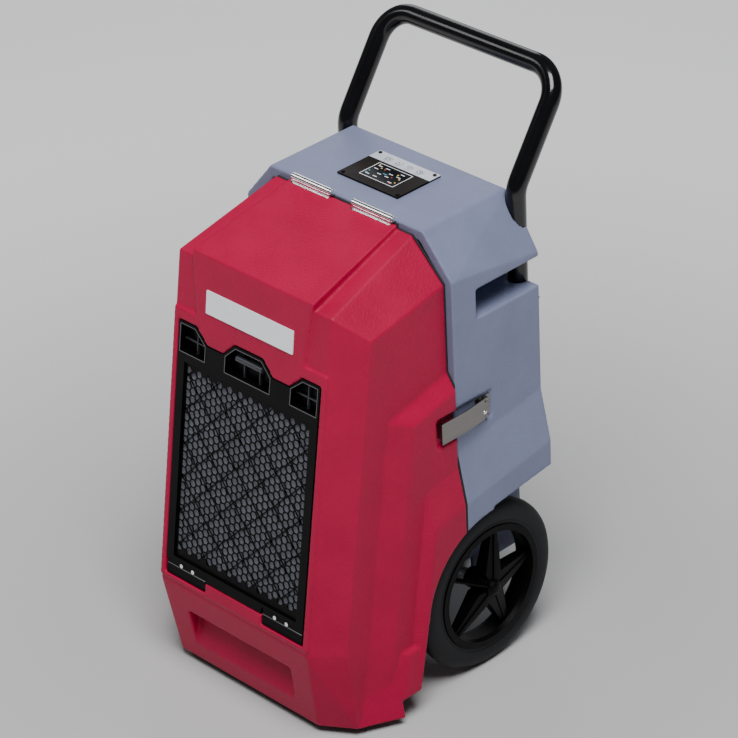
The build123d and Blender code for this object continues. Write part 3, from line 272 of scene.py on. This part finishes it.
def moulding(name, node, mat, body, rounds):
    """Roto-moulded skin: the CAD solid with every edge rounded over as the mould leaves it."""
    mesh = nodes[node].data.copy()
    obj = piece(name, mesh, mat, body)
    remesh = obj.modifiers.new("skin", "REMESH")
    remesh.mode = "VOXEL"
    remesh.voxel_size = VOXEL
    remesh.adaptivity = 0.0
    smooth = obj.modifiers.new("round", "SMOOTH")
    smooth.factor = 0.5
    smooth.iterations = rounds
    thin = obj.modifiers.new("thin", "DECIMATE")
    thin.ratio = KEPT_FACES
    mesh = apply_modifiers(obj)
    shade(mesh)
    mesh.materials.clear()
    mesh.materials.append(mat)
    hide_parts(node)


moulding("cover_shell", "front_cover", RED, "cover", 6)
moulding("housing_shell", "rear_housing", GREY, "housing", 7)

# ---- CAD nodes that stay, with broken edges ---------------------------------------------------------

EDGES = {                      # width of the broken edge of each node, in millimetres
    "filter_grille": 0.6, "badge_plate": 0.5, "control_panel": 0.7, "button_strip": 0.2,
    "display_window": 0.25, "latch_lever_right": 0.4, "latch_lever_left": 0.4, "latch_bases": 0.3,
    "latch_keepers": 0.4, "hinge_leaves_housing": 0.4, "hinge_leaves_cover": 0.4, "hinge_pins": 0.4,
    "handle_clamps": 1.0, "outlet_grille": 0.4, "power_inlet": 0.5, "drain_outlet": 0.4,
    "grille_tongues": 0.25, "tongue_screws": 0.4, "panel_screws": 0.3, "handle_screws": 0.5,
    "front_feet": 1.0, "chassis_tray": 0.4, "fan_shroud": 0.6, "grip_bar": 0.5, "hub_cap_right": 0.6,
    "hub_cap_left": 0.6, "panel_button_1": 0.4, "panel_button_2": 0.4, "panel_button_3": 0.4,
    "panel_button_4": 0.4, "rim_right": 0.7, "rim_left": 0.7,
}
for node, width in EDGES.items():
    soften(node, width)

# ---- small shapes drawn on a plane --------------------------------------------------------------------


def stroke(a, b, width):
    """Outline of a straight line of the given width, in millimetres on a plane."""
    (ax, ay), (bx, by) = a, b
    length = math.hypot(bx - ax, by - ay)
    dx, dy = (by - ay) / length * width / 2, (ax - bx) / length * width / 2
    return [(ax + dx, ay + dy), (bx + dx, by + dy), (bx - dx, by - dy), (ax - dx, ay - dy)]


def hoop(centre, r, width, start=0.0, end=360.0, parts=28):
    """Outlines that together make an arc of the given width."""
    out = []
    for k in range(parts):
        ring = []
        for angle, radius in ((k, r - width / 2), (k, r + width / 2), (k + 1, r + width / 2),
                              (k + 1, r - width / 2)):
            turn = math.radians(start + (end - start) * angle / parts)
            ring.append((centre[0] + radius * math.cos(turn), centre[1] + radius * math.sin(turn)))
        out.append(ring)
    return out


def disc(centre, r, parts=20):
    """Outline of a round dot."""
    turns = [2 * math.pi * k / parts for k in range(parts)]
    return [(centre[0] + r * math.cos(turn), centre[1] + r * math.sin(turn)) for turn in turns]


def clean_mesh(name, verts, faces, weld=False):
    """Mesh with its faces turned outwards and, where asked, its doubled points joined."""
    mesh = bpy.data.meshes.new(name)
    mesh.from_pydata(verts, [], faces)
    work = bmesh.new()
    work.from_mesh(mesh)
    if weld:
        bmesh.ops.remove_doubles(work, verts=work.verts, dist=1e-6)
    bmesh.ops.recalc_face_normals(work, faces=work.faces)
    work.to_mesh(mesh)
    work.free()
    return mesh


def raised(name, outlines, plane, low, high, mat, body):
    """Outlines on a plane (origin, u, v, normal) made solid from low to high above it."""
    origin, u, v, n = plane
    verts, faces = [], []
    for ring in outlines:
        first = len(verts)
        for height in (low, high):
            verts += [(origin + u * x + v * y + n * height) * MM for x, y in ring]
        count = len(ring)
        faces.append([first + k for k in reversed(range(count))])
        faces.append([first + count + k for k in range(count)])
        for k in range(count):
            after = (k + 1) % count
            faces.append([first + k, first + after, first + count + after, first + count + k])
    return piece(name, clean_mesh(name, verts, faces), mat, body)


def lathe(name, profile, origin, axis, mat, body, segments=96, closed=True):
    """Turn (distance along the axis, radius) points about an axis through origin, in millimetres."""
    axis = Vector(axis)
    side = axis.orthogonal().normalized()
    other = axis.cross(side)
    verts, faces = [], []
    for k in range(segments):
        turn = 2 * math.pi * k / segments
        out = side * math.cos(turn) + other * math.sin(turn)
        verts += [(Vector(origin) + axis * h + out * r) * MM for h, r in profile]
    count = len(profile)
    spans = count if closed else count - 1
    for k in range(segments):
        after = (k + 1) % segments
        for i in range(spans):
            j = (i + 1) % count
            faces.append([k * count + i, after * count + i, after * count + j, k * count + j])
    mesh = clean_mesh(name, verts, faces, weld=True)
    shade(mesh, 50)
    return piece(name, mesh, mat, body)


# ---- intake grille: strainer net, and folds and pocket rims with painted highlights -------------------

LEAN = 0.1633                  # the front face moves back this far for each unit of height
FACE_Y = -281.5                # where the front face would meet the floor
UP_FACE = Vector((0, LEAN, 1)).normalized()
OUT_FACE = Vector((0, -1, LEAN)).normalized()


def face_plane(z):
    """Plane on the front face with its origin at height z: x to the right, y up the face."""
    return Vector((0, FACE_Y + LEAN * z, z)), Vector((1, 0, 0)), UP_FACE, OUT_FACE


NET_HALF = 121.0               # half width and half height of the net behind the mesh
NET_RISE = 145.0
NET_STEP = 51.0
NET_START = 20.0               # the first strand's distance from the net's corner
NET_MID_Z = 329.0
STRAND = 1.3
strands = []
offset = -(NET_HALF + NET_RISE) + NET_START
while offset < NET_HALF + NET_RISE:
    start, end = max(-NET_HALF, offset - NET_RISE), min(NET_HALF, offset + NET_RISE)
    if end - start > 4:
        strands.append(stroke((start, offset - start), (end, offset - end), STRAND))
        strands.append(stroke((start, start - offset), (end, end - offset), STRAND))
    offset += NET_STEP
raised("strainer_net", strands, face_plane(NET_MID_Z), -3.7, -2.8, MESH, "grille")

FOLD_SPAN = (57.5, 134.0)
FOLD_Z = 169.3
FOLD_R = 0.8
# Half-round bead along each tongue's bend, light grey as a painted highlight of the bend.
for side, label in ((1, "right"), (-1, "left")):
    x0, x1 = sorted(side * x for x in FOLD_SPAN)
    lathe("tongue_fold_highlight_" + label, [(0, 0.2), (0.6, FOLD_R), (x1 - x0 - 0.6, FOLD_R), (x1 - x0, 0.2)],
          (x0, FACE_Y + LEAN * FOLD_Z - 0.9, FOLD_Z), (1, 0, 0), EDGE_HIGHLIGHT, "grille", 12, False)

DOOR_OUT = 2.6                 # the grille's face stands this far out of the front face
DOOR_MID_Z = 507.0
POCKET_LINES = [               # outlines of the finger pockets as (x, height)
    [(-43.7, 487.0), (43.7, 487.0), (43.7, 510.0), (25.0, 527.4), (-25.0, 527.4), (-43.7, 510.0)],
    [(82.5, 487.0), (132.4, 487.0), (132.4, 527.4), (104.0, 527.4), (82.5, 510.0)],
    [(-82.5, 487.0), (-132.4, 487.0), (-132.4, 527.4), (-104.0, 527.4), (-82.5, 510.0)],
]
# Thin light-grey strokes along the pocket outlines: painted highlights on the pocket rims.
rim_highlights = []
for ring in POCKET_LINES:
    flat = [(x, (z - DOOR_MID_Z) / UP_FACE.z) for x, z in ring]
    rim_highlights += [stroke(a, b, 0.9) for a, b in zip(flat, flat[1:] + flat[:1])]
raised("pocket_rim_highlights", rim_highlights, face_plane(DOOR_MID_Z), DOOR_OUT - 0.4, DOOR_OUT + 0.25, EDGE_HIGHLIGHT, "grille")
ribs = [stroke((x, -20.0), (x, 2.0), 1.6) for x in (-15.0, 15.0)]
for side in (1, -1):
    ribs.append(stroke((side * 107.0, -20.0), (side * 107.0, 20.0), 1.4))
    ribs.append(stroke((side * 83.0, -3.0), (side * 132.0, -3.0), 1.4))
raised("pocket_ribs", ribs, face_plane(DOOR_MID_Z), -11.1, -6.5, GRIP_HIGHLIGHT, "grille")

# ---- tyres, latch rivets ----------------------------------------------------------------------------

AXLE = (42.0, 127.0)            # y and z
TYRE_MID = 183.0
RIVET = (199.9, 41.0, 410.0)
# Half of the tyre's section as (distance from its middle, radius).
HALF_TYRE = [(13.2, 91.0), (15.2, 92.6), (16.2, 95.0), (16.2, 97.0), (15.6, 98.0), (16.4, 99.2),
             (16.9, 103.0), (17.0, 107.5), (16.6, 112.5), (15.2, 117.5), (12.8, 121.6), (9.6, 124.6),
             (5.4, 126.4), (0.0, 127.0)]
tyre_profile = HALF_TYRE + [(-h, r) for h, r in reversed(HALF_TYRE[:-1])]
for side, label in ((1, "right"), (-1, "left")):
    skin = lathe("tyre_skin_" + label, tyre_profile, (side * TYRE_MID, *AXLE), (1, 0, 0), TYRE,
                 "wheel_" + label)
    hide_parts("tyre_" + label)
    lathe("latch_rivet_" + label, [(-1.0, 3.2), (0.5, 3.2), (1.2, 2.4), (1.6, 1.2), (1.7, 0.05)],
          (side * RIVET[0], *RIVET[1:]), (side, 0, 0), BRIGHT, "latch_" + label, 24, False)

# ---- control panel: generic icons ---------------------------------------------------------------------

STRIP_TOP = 690.6              # top of the button caps
SCREEN_TOP = 690.0
BUTTON_Y = 103.0
SCREEN_Y = 69.0
SCREEN_HALF = (31.5, 19.5)


def flat_plane(x, y, z):
    """Level plane with its origin at the point."""
    return Vector((x, y, z)), Vector((1, 0, 0)), Vector((0, 1, 0)), Vector((0, 0, 1))


ICONS = [
    hoop((0, 0), 3.6, 1.0, 115, 425) + [stroke((0, 0.5), (0, 4.6), 1.0)],
    [stroke((-3.6, -2.0), (0, 2.6), 0.8), stroke((0, 2.6), (3.6, -2.0), 0.8),
     stroke((-3.6, -3.4), (3.6, -3.4), 0.7)],
    [stroke((-3.6, 2.0), (0, -2.6), 0.8), stroke((0, -2.6), (3.6, 2.0), 0.8),
     stroke((-3.6, 3.4), (3.6, 3.4), 0.7)],
    hoop((0, 0), 3.9, 0.9) + [stroke((0, 0), (0, 2.8), 0.8), stroke((0, 0), (2.2, 0), 0.8)],
]
for number, (x, icon) in enumerate(zip((-30.0, -10.0, 10.0, 30.0), ICONS), 1):
    raised("button_icon_%d" % number, icon, flat_plane(x, BUTTON_Y, STRIP_TOP), 0.0, 0.12, INK,
           "button_%d" % number)

screen_plane = flat_plane(0, SCREEN_Y, SCREEN_TOP)
half_x, half_y = SCREEN_HALF
corners = [(-half_x, -half_y), (half_x, -half_y), (half_x, half_y), (-half_x, half_y)]
border = [stroke(a, b, 0.9) for a, b in zip(corners, corners[1:] + corners[:1])]
dashes = []
for row, y in enumerate((13.0, 4.5, -4.0, -12.5)):
    for column, x in enumerate((-23.0, -9.0, 5.0, 19.0)):
        if (row + column) % 3 != 2:      # every third place stays empty
            dashes.append(stroke((x - 3.6, y), (x + 3.6, y), 1.4))
raised("screen_marks", border + dashes, screen_plane, 0.0, 0.1, GLOW_WHITE, "housing")
raised("screen_amber", [disc((-26.0, 15.5), 1.2), disc((-17.5, 9.5), 1.1), disc((14.0, 9.0), 1.3),
                        disc((24.0, 1.0), 1.3), disc((25.5, -9.0), 1.1)],
       screen_plane, 0.0, 0.12, GLOW_AMBER, "housing")
raised("screen_red", [disc((-11.0, 9.0), 0.9), disc((21.0, -14.5), 1.1), disc((12.0, -1.0), 0.8)],
       screen_plane, 0.0, 0.12, GLOW_RED, "housing")
raised("screen_teal", [disc((-27.0, -4.5), 1.0), disc((-27.0, -10.0), 1.0),
                       stroke((-6.0, 0.3), (2.0, 0.3), 0.8)],
       screen_plane, 0.0, 0.12, GLOW_TEAL, "housing")

# ---- floor, light and camera ------------------------------------------------------------------------

FLOOR_HALF = 12
floor_mesh = bpy.data.meshes.new("floor")
floor_corners = [(x * FLOOR_HALF, y * FLOOR_HALF, 0) for x, y in ((-1, -1), (1, -1), (1, 1), (-1, 1))]
floor_mesh.from_pydata(floor_corners, [], [(0, 1, 2, 3)])
floor = bpy.data.objects.new("floor", floor_mesh)
bpy.context.scene.collection.objects.link(floor)


def floor_material():
    """Matt paper sweep with a painted soft shadow: a little darker close to the machine where it stands."""
    mat, tree, shader = principled("studio_floor")
    coord = add(tree, "ShaderNodeTexCoord").outputs["Object"]
    away = add(tree, "ShaderNodeVectorMath", operation="LENGTH")
    tree.links.new(coord, away.inputs[0])
    # Painted soft shadow: the floor colour darkens towards the machine.
    painted_shadow_fade = add(tree, "ShaderNodeMapRange", interpolation_type="SMOOTHSTEP")
    painted_shadow_fade.inputs["From Min"].default_value = 0.35
    painted_shadow_fade.inputs["From Max"].default_value = 1.7
    tree.links.new(away.outputs["Value"], painted_shadow_fade.inputs["Value"])
    tree.links.new(tinted(tree, painted_shadow_fade.outputs["Result"], (0.52, 0.52, 0.523), (0.94, 0.94, 0.945)),
                   shader.inputs["Base Color"])
    shader.inputs["Roughness"].default_value = 0.9
    shader.inputs["Specular IOR Level"].default_value = 0.1
    return mat


floor_mesh.materials.append(floor_material())

world = bpy.data.worlds.new("studio")
bpy.context.scene.world = world
world.use_nodes = True
world.node_tree.nodes["Background"].inputs["Color"].default_value = (0.96, 0.98, 1.0, 1)
world.node_tree.nodes["Background"].inputs["Strength"].default_value = 0.1


def softbox(name, place, target, size, power, colour=(1, 1, 1)):
    """Rectangular light of the given size and watts, aimed at the target."""
    data = bpy.data.lights.new(name, "AREA")
    data.shape = "RECTANGLE"
    data.size, data.size_y = size
    data.energy = power
    data.color = colour
    obj = bpy.data.objects.new(name, data)
    obj.location = place
    obj.rotation_euler = (Vector(target) - Vector(place)).to_track_quat("-Z", "Y").to_euler()
    bpy.context.scene.collection.objects.link(obj)


softbox("key_box", (1.9, -1.5, 6.4), (0, 0, 0.4), (3.2, 3.2), 540)
softbox("edge_box", (-2.4, -1.7, 3.0), (0, 0, 0.5), (1.0, 1.0), 14)
softbox("back_box", (-2.6, 2.6, 2.2), (0, 0, 0.5), (1.4, 2.0), 16, (0.95, 0.97, 1.0))

camera_data = bpy.data.cameras.new("camera")
camera_data.lens = 171.6
camera_data.sensor_width = 36.0
camera_data.clip_end = 60.0
camera = bpy.data.objects.new("camera", camera_data)
camera.location = (3.020, -2.830, 2.8815)
camera.rotation_euler = (1.0331, 0.0433, 0.7886)
bpy.context.scene.collection.objects.link(camera)
bpy.context.scene.camera = camera
